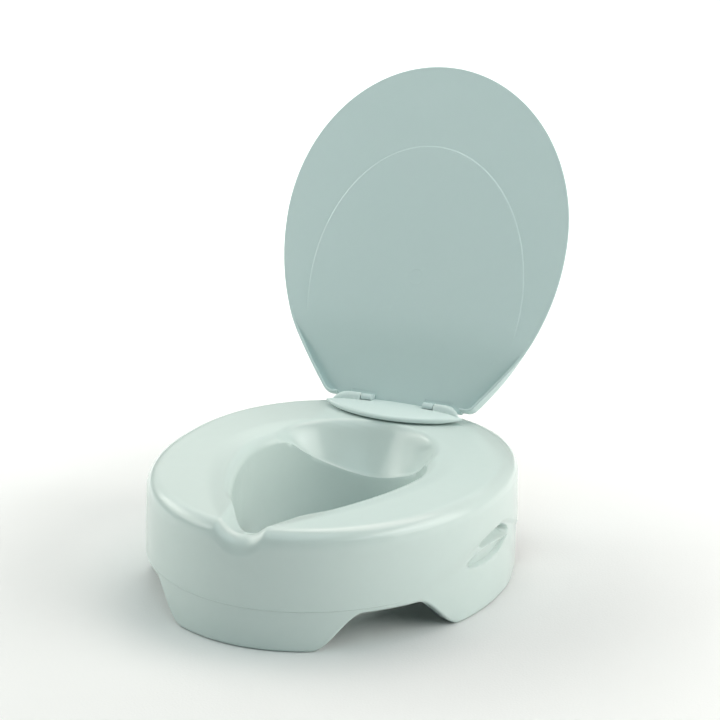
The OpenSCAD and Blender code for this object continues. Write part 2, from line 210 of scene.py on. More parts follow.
def shade_by_angle(obj, degrees):
    """Smooth faces with edges marked sharp where they turn by more than an angle."""
    mesh = obj.data
    mesh.polygons.foreach_set("use_smooth", [True] * len(mesh.polygons))
    mesh.set_sharp_from_angle(angle=math.radians(degrees))


def turned(name, profile, centre, axis, count=48):
    """A solid turned round an axis, from (radius, height) points that start and end on the axis."""
    x_dir, y_dir, z_dir = axis
    points, faces = [], []
    inner = profile[1:-1]
    centre = np.array(centre, float)
    points.append(centre + z_dir * profile[0][1])
    for r, h in inner:
        for t in np.arange(count) * 2 * np.pi / count:
            points.append(centre + x_dir * r * math.cos(t) + y_dir * r * math.sin(t) + z_dir * h)
    points.append(centre + z_dir * profile[-1][1])
    last = len(points) - 1
    for k in range(count):
        k2 = (k + 1) % count
        faces.append([0, 1 + k2, 1 + k])
        for i in range(len(inner) - 1):
            a, b = 1 + i * count, 1 + (i + 1) * count
            faces.append([a + k, a + k2, b + k2, b + k])
        a = 1 + (len(inner) - 1) * count
        faces.append([last, a + k, a + k2])
    return mesh_piece(name, np.array(points), faces)


UP_AXES = (np.array([1.0, 0, 0]), np.array([0, 1.0, 0]), np.array([0, 0, 1.0]))
ACROSS_AXES = (np.array([0, 1.0, 0]), np.array([0, 0, 1.0]), np.array([1.0, 0, 0]))


# --- Materials ---------------------------------------------------------------------------------
class Nodes:
    """Short names for building one material's node tree."""

    def __init__(self, name):
        self.material = bpy.data.materials.new(name)
        self.material.use_nodes = True
        self.tree = self.material.node_tree
        self.shader = next(n for n in self.tree.nodes if n.type == "BSDF_PRINCIPLED")
        self.coord = self.add("ShaderNodeTexCoord").outputs["Object"]

    def add(self, kind, **settings):
        node = self.tree.nodes.new(kind)
        for key, value in settings.items():
            setattr(node, key, value)
        return node

    def link(self, source, target):
        self.tree.links.new(source, target)

    def noise(self, scale, detail=2.0, roughness=0.5, stretch=(1, 1, 1)):
        mapping = self.add("ShaderNodeMapping")
        mapping.inputs["Scale"].default_value = stretch
        self.link(self.coord, mapping.inputs["Vector"])
        node = self.add("ShaderNodeTexNoise")
        node.inputs["Scale"].default_value = scale
        node.inputs["Detail"].default_value = detail
        node.inputs["Roughness"].default_value = roughness
        self.link(mapping.outputs["Vector"], node.inputs["Vector"])
        return node.outputs["Fac"]

    def remap(self, value, low, high, to_low, to_high):
        node = self.add("ShaderNodeMapRange")
        for key, v in (("From Min", low), ("From Max", high), ("To Min", to_low), ("To Max", to_high)):
            node.inputs[key].default_value = v
        self.link(value, node.inputs["Value"])
        return node.outputs["Result"]

    def mix(self, factor, a, b):
        node = self.add("ShaderNodeMix", data_type="RGBA")
        self.link(factor, node.inputs["Factor"])
        for key, v in (("A", a), ("B", b)):
            socket = next(s for s in node.inputs if s.name == key and s.type == "RGBA")
            if isinstance(v, bpy.types.NodeSocket):
                self.link(v, socket)
            else:
                socket.default_value = (*v, 1.0)
        return next(s for s in node.outputs if s.type == "RGBA")

    def bump(self, height, distance, normal=None):
        node = self.add("ShaderNodeBump")
        node.inputs["Strength"].default_value = 1.0
        node.inputs["Distance"].default_value = distance
        self.link(height, node.inputs["Height"])
        if normal is not None:
            self.link(normal, node.inputs["Normal"])
        return node.outputs["Normal"]


def plastic(name, tint, shade, roughness, grain, swell, wear=0.5):
    """Moulded plastic: a faint flow of tint, fine grain, slow swell and lighter rubbed edges."""
    n = Nodes(name)
    flow = n.noise(6, 2, 0.5, (1, 1, 1.6))
    mottle = n.noise(95, 2, 0.5)
    colour = n.mix(n.remap(flow, 0.2, 0.8, 0, 1), tint, shade)
    colour = n.mix(n.remap(mottle, 0.25, 0.75, 0, 0.12), colour, [c * 0.93 for c in shade])
    edge = n.remap(n.add("ShaderNodeNewGeometry").outputs["Pointiness"], 0.53, 0.66, 0, wear)
    colour = n.mix(edge, colour, [min(1.0, c * 1.12) for c in tint])
    n.link(colour, n.shader.inputs["Base Color"])
    smears = n.noise(22, 4, 0.6)
    n.link(n.remap(smears, 0.3, 0.7, *roughness), n.shader.inputs["Roughness"])
    normal = n.bump(n.noise(14, 2, 0.5), 0.0008 * swell)
    normal = n.bump(n.noise(330, 1, 0.5), 0.00002 * grain, normal)
    n.link(normal, n.shader.inputs["Normal"])
    n.shader.inputs["IOR"].default_value = 1.5
    n.shader.inputs["Subsurface Weight"].default_value = 0.08
    n.shader.inputs["Subsurface Radius"].default_value = (0.006, 0.007, 0.006)
    n.shader.inputs["Subsurface Scale"].default_value = 1.0
    return n.material


def rubber(name, tint):
    """Closed-cell foam rubber: small open pores painted darker as painted shade inside them, and a dusty,
    matt face.
    """
    n = Nodes(name)
    pores = n.add("ShaderNodeTexVoronoi", feature="F1")
    pores.inputs["Scale"].default_value = 1100
    n.link(n.coord, pores.inputs["Vector"])
    cells = pores.outputs["Distance"]
    # painted shade: the colour darkens towards each pore's middle, where shade would fall inside the pore
    colour = n.mix(n.remap(cells, 0.1, 0.6, 0, 1), [c * 0.55 for c in tint], tint)
    dust = n.remap(n.noise(40, 4, 0.6), 0.5, 0.8, 0, 0.35)
    colour = n.mix(dust, colour, [min(1, c * 1.7) for c in tint])
    n.link(colour, n.shader.inputs["Base Color"])
    n.link(n.remap(cells, 0.1, 0.6, 0.95, 0.8), n.shader.inputs["Roughness"])
    n.link(n.bump(cells, 0.0004), n.shader.inputs["Normal"])
    return n.material


def zinc(name, tint):
    """Zinc-plated steel with fine turning marks and dull patches."""
    n = Nodes(name)
    patches = n.noise(160, 4, 0.6)
    colour = n.mix(n.remap(patches, 0.35, 0.7, 0, 1), tint, [c * 0.8 for c in tint])
    n.link(colour, n.shader.inputs["Base Color"])
    n.link(n.remap(patches, 0.3, 0.7, 0.25, 0.45), n.shader.inputs["Roughness"])
    n.link(n.bump(n.noise(900, 2, 0.5, (1, 1, 8)), 0.00005), n.shader.inputs["Normal"])
    n.shader.inputs["Metallic"].default_value = 1.0
    return n.material


SEAT_PLASTIC = plastic("seat_plastic", (0.615, 0.71, 0.685), (0.60, 0.70, 0.675), (0.17, 0.235), 0.5, 0.35)
LID_PLASTIC = plastic("lid_plastic", (0.605, 0.725, 0.72), (0.59, 0.715, 0.71), (0.31, 0.37), 0.5, 0.2)
BRACKET_PLASTIC = plastic("bracket_plastic", (0.675, 0.785, 0.765), (0.66, 0.775, 0.755),
                          (0.29, 0.35), 0.6, 0.2)
PIN_PLASTIC = plastic("pin_plastic", (0.58, 0.66, 0.64), (0.55, 0.63, 0.61), (0.38, 0.48), 1.0, 0.1)
PAD_RUBBER = rubber("pad_rubber", (0.055, 0.062, 0.066))
SCREW_STEEL = zinc("screw_steel", (0.62, 0.63, 0.64))


def dress(obj, material):
    obj.data.materials.clear()
    obj.data.materials.append(material)


# --- Seat body ---------------------------------------------------------------------------------
def polar(a, half_w, front, rear, front_n, rear_n):
    s = np.sin(a)
    length, n = np.where(s < 0, front, rear), np.where(s < 0, front_n, rear_n)
    return ((np.abs(np.cos(a)) / half_w) ** n + (np.abs(s) / length) ** n) ** (-1 / n)


def body_r(a):
    return polar(a, SEAT_W / 2, FRONT_LEN, REAR_LEN, FRONT_POWER, REAR_POWER)


def throat_r(a):
    def raw(t):
        return polar(t, THROAT_W, THROAT_FRONT, THROAT_REAR, THROAT_FRONT_POWER, THROAT_REAR_POWER)
    return (raw(a - THROAT_EASE) + 2 * raw(a) + raw(a + THROAT_EASE)) / 4


def mouth_r(a):
    """The throat's upper edge, which lies in front of the wall's foot because the wall leans."""
    def raw(t):
        return polar(t, THROAT_W, MOUTH_FRONT, THROAT_REAR, MOUTH_POWER, THROAT_REAR_POWER)
    return (raw(a - MOUTH_EASE) + 2 * raw(a) + raw(a + MOUTH_EASE)) / 4


def ramp(b, span):
    return smooth((b - span[0]) / (span[1] - span[0]))


def window(b, rise, fall):
    """1 between two spans and 0 beyond them."""
    return ramp(b, rise) * (1 - ramp(b, fall))


def bottom_z(b):
    return SCALLOP_Z * (ramp(b, FRONT_LOBE) - ramp(b, SIDE_LOBE_FRONT) + ramp(b, SIDE_LOBE_REAR))


def panel_z(b):
    """Height of the parting line, which climbs over the finger recess at each side."""
    left = 1 - np.clip((b - PANEL_RISE[0]) / (PANEL_RISE[1] - PANEL_RISE[0]), 0, 1)
    climb = 1 - left ** PANEL_POWER
    return PARTING_Z + PANEL_H * climb * (1 - ramp(b, PANEL_FALL))


def wall_inset(b, z):
    """How far the side wall lies inside the outline."""
    line = panel_z(b)
    share = window(b, PANEL_STEP_IN, PANEL_STEP_OUT)
    above = TOP_DRAFT * (z - PARTING_Z) / (SEAT_H - PARTING_Z)
    at_line = TOP_DRAFT * (line - PARTING_Z) / (SEAT_H - PARTING_Z)
    softness = STEP_SOFT + (STEP_SHARP - STEP_SOFT) * ramp(b, STEP_SHARPENS)
    ledge = LEDGE * (1 - ramp(b, FLASH_FADE)) * smooth((line - z) / LEDGE_SOFT)
    below = (PANEL_INSET * share * smooth((line - z) / softness) + ledge
             + at_line * (1 - smooth((line - z) / PANEL_H)))
    flare = LOBE_FLARE * window(b, FLARE_IN, FLARE_OUT) * smooth((FLARE_Z - z) / FLARE_Z)
    return np.where(z > line, above, below - flare)


def flash(b, z):
    """The fine raised line along the parting, strongest at the front."""
    return FLASH_H * (1 - ramp(b, FLASH_FADE)) * hump(z - panel_z(b), FLASH_W)


def along(points, y):
    """Height of a smooth line through (y, z) points."""
    y = np.asarray(y, float)
    ys, zs = np.array(points, float).T
    fine = np.linspace(ys[0], ys[-1], 400)
    plain = np.interp(fine, ys, zs)
    kernel = np.hanning(33) / np.hanning(33).sum()
    eased = np.convolve(np.pad(plain, 16, "edge"), kernel, "valid")
    return np.interp(y, fine, eased)


def recess(y, z):
    """Depth of the finger recess: a pocket under an arch, a ridge, and a leaf-shaped facet below."""
    arch, ridge, leaf = along(RECESS_ARCH, y), along(RECESS_RIDGE, y), along(RECESS_LEAF, y)
    up = (z - ridge) / np.maximum(arch - ridge, 1.0)
    floor_in = np.clip(up / RECESS_FLOOR, 0, 1)
    pocket = (RECESS_D * window(y, RECESS_IN, RECESS_OUT) * (0.75 * floor_in + 0.25 * smooth(floor_in))
              * (1 - ramp(up, RECESS_ROOF)))
    down = (ridge - z) / np.maximum(ridge - leaf, 1.0)
    lower_edge = 1 - smooth((leaf + 0.4 - z) / LEAF_EDGE)
    facet = LEAF_D * window(y, LEAF_IN, LEAF_OUT) * np.clip(down, 0, 1.2) ** 0.9 * lower_edge
    shoulder = SHOULDER_H * window(y, SHOULDER_IN, SHOULDER_OUT) * hump(z - ridge - 3, 9)
    return np.where(z > ridge, np.maximum(pocket, shoulder * (z > ridge)), facet)


def wall_r(a, b, z):
    """Distance of the side wall from the middle, at an angle and a height."""
    r = body_r(a)
    return r - wall_inset(b, z) - recess(r * np.sin(a), z) + flash(b, z)


def wall_heights(b, line, foot_z, count=56):
    """Heights down the wall below the parting line, closer together over the finger recess."""
    over = window(b, (64, 72), (104, 112))
    t = np.linspace(0, 1, count + 1)[1:, None]
    top = line - BAND
    plain = top + (foot_z - top) * t
    knee, share = 50.5, 0.78                  # most of the rows lie above the knee
    packed = np.where(t < share, top + (knee - top) * t / share,
                      knee + (foot_z - knee) * (t - share) / (1 - share))
    return plain + (packed - plain) * over


def scoop_z(x, y):
    return SEAT_H - SCOOP_D * (1 - (x / SCOOP_RX) ** 2 - ((y - SCOOP_Y) / SCOOP_RY) ** 2)


def notch_z(x, y):
    inward = y + FRONT_LEN
    half = NOTCH_W + NOTCH_SPREAD * np.clip((inward - NOTCH_SPREAD_FROM) / NOTCH_SPREAD_L, 0, 1)
    fall = NOTCH_FALL * np.clip((inward - NOTCH_FALL_FROM) / NOTCH_FALL_L, 0, 1)
    floor_z = SEAT_H - NOTCH_D - fall
    return floor_z + (SEAT_H - floor_z + 3) * (np.abs(x) / half) ** NOTCH_POWER


def top_z(r, a):
    """Height of the upper surface: seating face, rear scoop and front notch."""
    x, y = r * np.cos(a), r * np.sin(a)
    face = SEAT_H - DISH_D * (1 - smooth((r - mouth_r(a)) / DISH_W))
    rear = np.where(y > SCOOP_Y, scoop_z(x, y), SEAT_H + FAR_UP)
    front = np.where(y < NOTCH_END, notch_z(x, y), SEAT_H + FAR_UP)
    return soft_min(soft_min(face, rear, SCOOP_SOFT), front, NOTCH_SOFT)


def inner_roll(b):
    """Radius of the edge between the seating face and the throat."""
    return ROLL_R - ROLL_LESS_FRONT * smooth((25 - b) / 12) - ROLL_LESS_REAR * ramp(b, (115, 150))


def body_angles():
    """Angles round the body, closer together at the front notch and the finger recesses."""
    b = np.linspace(0, 180, 2000)
    density = 1 + 2.2 * hump(b - 88, 26) + 1.0 * hump(b - 8, 34) + 0.6 * hump(b - 60, 16)
    spread = np.concatenate([[0], np.cumsum((density[1:] + density[:-1]) / 2)])
    half = np.interp(np.linspace(0, spread[-1], 241), spread, b)
    b_all = np.concatenate([half, -half[-2:0:-1]])
    return np.radians(-90 + b_all), np.abs(b_all)


def body_section():
    """Points (radius, height) of the outer skin at every angle, as an array [angle, point, 2]."""
    a, b = body_angles()
    rt, mouth, ri, zb = throat_r(a), mouth_r(a), inner_roll(b), bottom_z(b)
    outer = wall_r(a, b, np.full_like(a, SEAT_H))
    first, last = mouth + ri, outer - EDGE_R
    inner_edge = top_z(first, a) - ri
    wall_top = top_z(last, a) - EDGE_R
    foot_z = zb + FOOT_R
    low = wall_r(a, b, foot_z)
    face_in = body_r(a) - LOBE_T - 2
    fold = bottom_z(b) / SCALLOP_Z
    under_in = face_in - 2 - 10 * fold
    leg = rt + THROAT_T
    line = panel_z(b)
    points = []

    def put(r, z):
        points.append(np.stack([r * np.ones_like(a), z * np.ones_like(a)], -1))

    for t in np.linspace(0, 1, 16)[:-1]:                                 # up the throat
        start = rt - THROAT_DRAFT + 2 * (1 - smooth(t / 0.1))
        z0 = LIP_Z + 3 * (1 - smooth(t / 0.1))
        put(start + (mouth - rt + THROAT_DRAFT) * t, z0 + (inner_edge - z0) * t)
    for t in np.linspace(0, 1, 13)[:-1]:                                 # inner roll
        q = math.radians(90 * t)
        r = mouth + ri * (1 - math.cos(q))
        put(r, inner_edge + ri * math.sin(q) + (top_z(r, a) - top_z(first, a)) * t)
    for t in np.linspace(0, 1, 31)[:-1]:                                 # seating face
        r = first + (last - first) * t
        put(r, top_z(r, a))
    for t in np.linspace(0, 1, 17)[:-1]:                                 # outer edge
        q = math.radians(90 * t)
        put(last + EDGE_R * math.sin(q), wall_top + EDGE_R * math.cos(q))
    above = line + BAND
    for t in np.linspace(0, 1, 15)[:-1]:                                 # wall above the parting line
        z = wall_top + (above - wall_top) * t
        put(wall_r(a, b, z), z)
    for dz in (BAND, 0.8, 0.5, 0.25, 0.0, -0.25, -0.5, -0.8, -BAND):     # across the parting line
        put(wall_r(a, b, line + dz), line + dz)
    for z in wall_heights(b, line, foot_z):                              # wall below it
        put(wall_r(a, b, z), z)
    for t in np.linspace(0, 1, 9)[1:]:                                   # rounded foot
        q = math.radians(90 * t)
        put(low - FOOT_R * (1 - math.cos(q)), zb + FOOT_R * (1 - math.sin(q)))
    put((low - FOOT_R + face_in + 3) / 2, zb)
    put(face_in + 3, zb)
    put(face_in + 0.8, zb + 0.9)
    put(face_in, zb + 3 - 6 * fold)
    put(face_in - 1, (zb + LAND_Z) / 2)
    put(under_in, LAND_Z)
    put((under_in + leg) / 2, LAND_Z)
    put(leg + 2, LAND_Z)
    put(leg, LAND_Z - 2)
    put(leg - 1, LIP_Z + 3)
    put(leg - 3, LIP_Z + 0.8)
    put((leg + rt) / 2 - THROAT_DRAFT / 2, LIP_Z)
    put(rt - THROAT_DRAFT + 4, LIP_Z + 0.4)
    return a, np.stack(points, 1)


def make_body():
    a, section = body_section()
    rows, cols = section.shape[:2]
    x = section[:, :, 0] * np.cos(a)[:, None]
    y = section[:, :, 0] * np.sin(a)[:, None]
    points = np.stack([x, y, section[:, :, 1]], -1).reshape(-1, 3)
    body = mesh_piece("seat_shell", points, grid_faces(rows, cols, True, True))
    for side in (-1, 1):
        well = [(0, LAND_Z - 4), (WELL_R, LAND_Z - 4), (WELL_R, WELL_TOP), (PIN_R + 0.3, WELL_TOP),
                (PIN_R + 0.3, SEAT_H + 4), (0, SEAT_H + 4)]
        boolean(body, turned("well", well, (side * WELL_X, WELL_Y, 0), UP_AXES), "DIFFERENCE")
    hole = [(0, LAND_Z - 3), (PLUG_R, LAND_Z - 3), (PLUG_R, LAND_Z + 6), (0, LAND_Z + 6)]
    boolean(body, turned("hole", hole, (0, PLUG_Y, 0), UP_AXES, 32), "DIFFERENCE")
    shade_by_angle(body, 50)
    dress(body, SEAT_PLASTIC)
    return body


# --- Hinge bracket -----------------------------------------------------------------------------
BRACKET_REAR = (HINGE_Y + LID_BACK * math.cos(OPEN_ANGLE)
                + (RIM_LEVEL + LID_RISE) * math.sin(OPEN_ANGLE) - STOP_GAP)


def lens_half(x):
    """Half the depth of the lens, whose outline is two arcs."""
    r = ((BRACKET_L / 2) ** 2 + (BRACKET_D / 2) ** 2) / BRACKET_D
    return BRACKET_D / 2 - r + np.sqrt(r * r - x * x)


def ear_rise(x, y, cover_z):
    """How far the ears stand up from the cover: a ridge over the pin that ends in a dome outwards."""
    ax = abs(x)
    if ax < EAR_IN - 0.01:
        return np.zeros_like(y)
    outward = np.clip((ax - EAR_OUT) / (EAR_END - EAR_OUT), 0, 1)
    dome = math.sqrt(1 - outward ** 2)
    round_in = 1 - 0.12 * (1 - smooth((ax - EAR_IN) / 0.9))
    half = EAR_HALF + EAR_SPREAD * outward
    middle = HINGE_Y - EAR_SHIFT * outward ** 2
    ridge = np.clip(1 - (np.abs(y - middle) / half) ** EAR_POWER, 0, 1) ** EAR_ROUND
    return (HINGE_Z + EAR_R + 0.2 - cover_z) * dome * round_in * ridge


def make_lens():
    """The lens-shaped cover with its two ears, from closed loops across it, tip to tip."""
    tip = BRACKET_L / 2 - 0.6
    s = tip * np.sin(np.linspace(-np.pi / 2, np.pi / 2, 151))
    cuts = [EAR_IN - 0.02, EAR_IN, EAR_IN + 0.3, EAR_IN + 0.9]
    spaced = [x for x in s if min(abs(abs(x) - c) for c in cuts) > 0.25]
    s = np.array(sorted(spaced + cuts + [-c for c in cuts]))
    loops = []
    for x in s:
        half = max(float(lens_half(x)), 0.5)
        front, rear = BRACKET_Y - half, min(BRACKET_Y + half, BRACKET_REAR)
        under = SEAT_H + BRACKET_GAP + TIP_LIFT * ramp(abs(x), TIP_LIFT_SPAN)
        edge = min(LENS_REAR_R, (rear - front) / 3)
        soft = min(LENS_FRONT_R, (rear - front) / 3)

        def top(y):
            y = np.asarray(y, float)
            cover = (SEAT_H + BRACKET_GAP + BRACKET_T - x * x / (2 * LONG_CROWN_R)
                     - (y - BRACKET_Y) ** 2 / (2 * CROWN_R))
            return cover + ear_rise(x, y, cover)
        loop = [(front + soft, under), (front + 0.3, under + 0.15), (front, under + 0.6)]
        crest = float(top(front + soft))
        lift = max(crest - soft, under + 0.8)
        for q in np.radians(np.linspace(0, 90, 7)):
            loop.append((front + soft * (1 - math.cos(q)), lift + (crest - lift) * math.sin(q)))
        ys = front + soft + (rear - front - edge - soft) * np.linspace(0, 1, 49)[1:-1]
        loop += list(zip(ys, top(ys)))
        crest = float(top(rear - edge))
        lift = max(crest - edge, under + 0.8)
        for q in np.radians(np.linspace(90, 0, 7)):
            loop.append((rear - edge * (1 - math.cos(q)), lift + (crest - lift) * math.sin(q)))
        loop += [(rear, under + 0.6), (rear - 0.3, under + 0.15), (rear - edge * 1.2, under)]
        loops.append([(x, y, z) for y, z in loop])
    rows, cols = len(loops), len(loops[0])
    faces = grid_faces(rows, cols, False, True)
    faces += [list(range(cols)), [(rows - 1) * cols + k for k in range(cols - 1, -1, -1)]]
    return mesh_piece("hinge_cover", np.array(loops).reshape(-1, 3), faces)


def block(name, low, high):
    """A plain box between two corners, to cut with."""
    x, y, z = zip(low, high)
    points = [(x[i], y[j], z[k]) for i in (0, 1) for j in (0, 1) for k in (0, 1)]
    faces = [[0, 1, 3, 2], [4, 6, 7, 5], [0, 4, 5, 1], [2, 3, 7, 6], [0, 2, 6, 4], [1, 5, 7, 3]]
    return mesh_piece(name, np.array(points, float), faces, False)


def make_bracket():
    lens = make_lens()
    for side in (-1, 1):
        inner, outer = side * (LUG_IN - SLOT_CLEAR), side * (LUG_OUT + SLOT_CLEAR)
        slot = block("slot", (min(inner, outer), HINGE_Y - EAR_R - SLOT_CLEAR, SEAT_H + 0.5),
                     (max(inner, outer), BRACKET_REAR + 5, HINGE_Z + 9))
        boolean(lens, slot, "DIFFERENCE")
        bore = [(0, -9), (PIN_R, -9), (PIN_R, 9), (0, 9)]
        tool = turned("bore", bore, (side * (EAR_IN + 8), HINGE_Y, HINGE_Z), ACROSS_AXES, 32)
        boolean(lens, tool, "DIFFERENCE")
    shade_by_angle(lens, 38)
    dress(lens, BRACKET_PLASTIC)
    return lens


def make_bracket_foot():
    """The foot under the lens, set back so that a shadow gap runs round the lens."""
    x = (BRACKET_L / 2 - 28) * np.sin(np.linspace(-np.pi / 2, np.pi / 2, 61))
    half = (BRACKET_D / 2 - 16) * np.sqrt(np.clip(1 - (x / (BRACKET_L / 2 - 27.5)) ** 2, 0, 1))
    outline = list(zip(x, BRACKET_Y + 2 - half)) + list(zip(x[::-1], BRACKET_Y + 2 + half[::-1]))[1:-1]
    count = len(outline)
    points = [(px, py, z) for z in (SEAT_H + 0.02, SEAT_H + BRACKET_GAP + 0.5) for px, py in outline]
    faces = [[k, (k + 1) % count, count + (k + 1) % count, count + k] for k in range(count)]
    faces += [list(range(count))[::-1], list(range(count, 2 * count))]
    foot = mesh_piece("hinge_foot", np.array(points), faces)
    shade_by_angle(foot, 40)
    dress(foot, BRACKET_PLASTIC)
    return foot


# --- Lid ---------------------------------------------------------------------------------------
def lid_to_seat(x, u, w):
    """From the lid's own frame, u from the hinge edge and w up from the closed rim, to the seat's."""
    yc, zc = LID_BACK - u, RIM_LEVEL + w
    c, s = math.cos(OPEN_ANGLE), math.sin(OPEN_ANGLE)
    return np.stack([x, HINGE_Y + yc * c + zc * s, HINGE_Z - yc * s + zc * c], -1)


def lid_half(u):
    """Half the width of the lid."""
    top = np.sqrt(np.clip(1 - ((u - LID_WIDE_U) / (LID_L - LID_WIDE_U)) ** 2, 0, 1))
    low = 1 - (np.clip((LID_WIDE_U - u) / LID_TAPER_U, 0, 1)) ** LID_TAPER_POWER
    return LID_W / 2 * np.where(u > LID_WIDE_U, top, low)


def lid_outline(count):
    """Points (x, u) along the lid's outline, from the middle of the hinge edge round the right."""
    corner_u = 0.0
    for _ in range(6):                                 # where a round corner runs into the tapering side
        slope = (LID_W / 2 * LID_TAPER_POWER / LID_TAPER_U
                 * ((LID_WIDE_U - corner_u) / LID_TAPER_U) ** (LID_TAPER_POWER - 1))
        turn = math.pi / 2 - math.atan(slope)
        corner_u = LID_CORNER_R * (1 - math.cos(turn))
    centre_x = float(lid_half(np.array(corner_u))) - LID_CORNER_R * math.sin(turn)
    side = [(x, 0.0) for x in np.linspace(0, centre_x, 60)[:-1]]
    side += [(centre_x + LID_CORNER_R * math.sin(q), LID_CORNER_R * (1 - math.cos(q)))
             for q in np.linspace(0, turn, 30)]
    u = np.linspace(corner_u, LID_WIDE_U, 200)[1:]
    side += list(zip(lid_half(u), u))
    side += [(LID_W / 2 * math.cos(q), LID_WIDE_U + (LID_L - LID_WIDE_U) * math.sin(q))
             for q in np.linspace(0, np.pi / 2, 200)[1:]]
    side = np.array(side)
    loop = np.concatenate([side, (side * [-1, 1])[-2:0:-1]])
    closed = np.concatenate([loop, loop[:1]])
    steps = np.hypot(*np.diff(closed, axis=0).T)
    closer = 1 + 2.5 * hump(closed[1:, 1] - 3, 14) * (np.abs(closed[1:, 0]) > 60)     # at the corners
    weight = np.cumsum(np.concatenate([[0], steps * closer]))
    at = np.linspace(0, weight[-1], count, endpoint=False)
    return np.stack([np.interp(at, weight, closed[:, 0]), np.interp(at, weight, closed[:, 1])], -1)


def panel_lift(u):
    """Height of the panel above the rim's plane, rising softly to the hinge edge."""
    d = RISE_U - u
    soft = np.where(d > RISE_EASE, d, np.where(d > -RISE_EASE, (d + RISE_EASE) ** 2 / (4 * RISE_EASE), 0))
    return LID_RISE * (1 - np.clip((RISE_U - soft) / RISE_U, 0, 1) ** RISE_POWER)


def egg_reach(direction):
    """Distance from the gate mark to the edge of the egg-shaped step, along a direction (dx, du)."""
    dx, du = direction[:, 0], direction[:, 1]
    off = GATE_U - EGG_U
    qa = (dx / EGG_RX) ** 2 + (du / EGG_RU) ** 2
    qb = 2 * off * du / EGG_RU ** 2
    qc = (off / EGG_RU) ** 2 - 1
    return (-qb + np.sqrt(qb * qb - 4 * qa * qc)) / (2 * qa)


